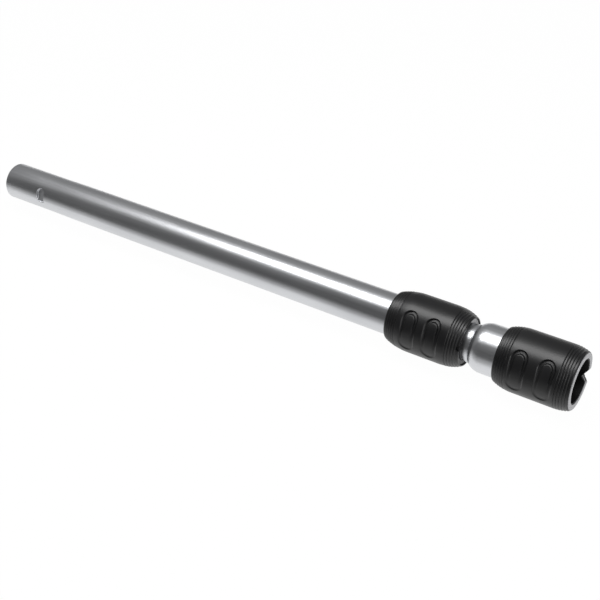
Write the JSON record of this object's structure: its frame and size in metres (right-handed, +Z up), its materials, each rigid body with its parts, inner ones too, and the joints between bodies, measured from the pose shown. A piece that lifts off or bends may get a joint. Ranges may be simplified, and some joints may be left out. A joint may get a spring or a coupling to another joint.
{
  "type": "telescopic vacuum wand",
  "caption": "Telescopic vacuum cleaner wand, pushed in: plain metal outer tube, sliding inner tube that swells into a socket, and black ribbed lock sleeves with finger recesses.",
  "frame": {"origin": "on the wand's axis, in the plane of the outer tube's open end", "axes": "+X runs along the wand from the open end of the outer tube to the mouth of the socket, +Z is up as the wand lies, +Y completes the right-handed set"},
  "size_m": [0.5888, 0.052, 0.052],
  "materials": {
    "tube_metal": "satin plated steel tube, fine lengthwise grain",
    "black_plastic": "satin moulded black plastic",
    "pale_plastic": "pale grey moulded plastic",
    "bush_plastic": "dark grey slippery plastic",
    "liner_plastic": "black moulded plastic",
    "spring_steel": "bright drawn steel",
    "seal_rubber": "soft black rubber",
    "felt": "dense grey felt"
  },
  "bodies": {
    "outer": {"outer_tube": "tube_metal", "guide_bush": "bush_plastic", "bush_pins": "spring_steel", "wiper_ring": "felt", "lock_end_ring": "pale_plastic", "lock_snap_ring": "spring_steel", "lock_spring": "spring_steel"},
    "inner": {"inner_tube": "tube_metal", "slide_ring": "bush_plastic", "socket_liner": "liner_plastic", "socket_seal": "seal_rubber", "spring_seat_ring": "spring_steel", "socket_end_ring": "pale_plastic", "socket_spring": "spring_steel"},
    "release_sleeve": {"lock_sleeve": "black_plastic", "lock_washer": "spring_steel"},
    "roller": {"lock_roller": "spring_steel"},
    "coupling_sleeve": {"socket_sleeve": "black_plastic", "socket_washer": "spring_steel"},
    "latch": {"socket_latch": "spring_steel"}
  },
  "joints": [
    {"name": "telescope", "type": "slide", "parent": "outer", "child": "inner", "axis": [1, 0, 0], "range_m": [0, 0.33]},
    {"name": "release_slide", "type": "slide", "parent": "outer", "child": "release_sleeve", "axis": [-1, 0, 0], "range_m": [0, 0.006], "stiffness_N_per_m": 800, "springref_m": -0.005, "deforming": ["lock_spring"]},
    {"name": "roller_lift", "type": "slide", "parent": "outer", "child": "roller", "axis": [0, 0.2588, 0.9659], "range_m": [0, 0.001]},
    {"name": "coupling_slide", "type": "slide", "parent": "inner", "child": "coupling_sleeve", "axis": [-1, 0, 0], "range_m": [0, 0.006], "stiffness_N_per_m": 800, "springref_m": -0.005, "deforming": ["socket_spring"]},
    {"name": "latch_lift", "type": "slide", "parent": "inner", "child": "latch", "axis": [0, 0.2588, 0.9659], "range_m": [0, 0.0012]}
  ],
  "couplings": [
    {"joint": "roller_lift", "follows": "release_slide", "ratio": 0.16667},
    {"joint": "latch_lift", "follows": "coupling_slide", "ratio": 0.2}
  ]
}
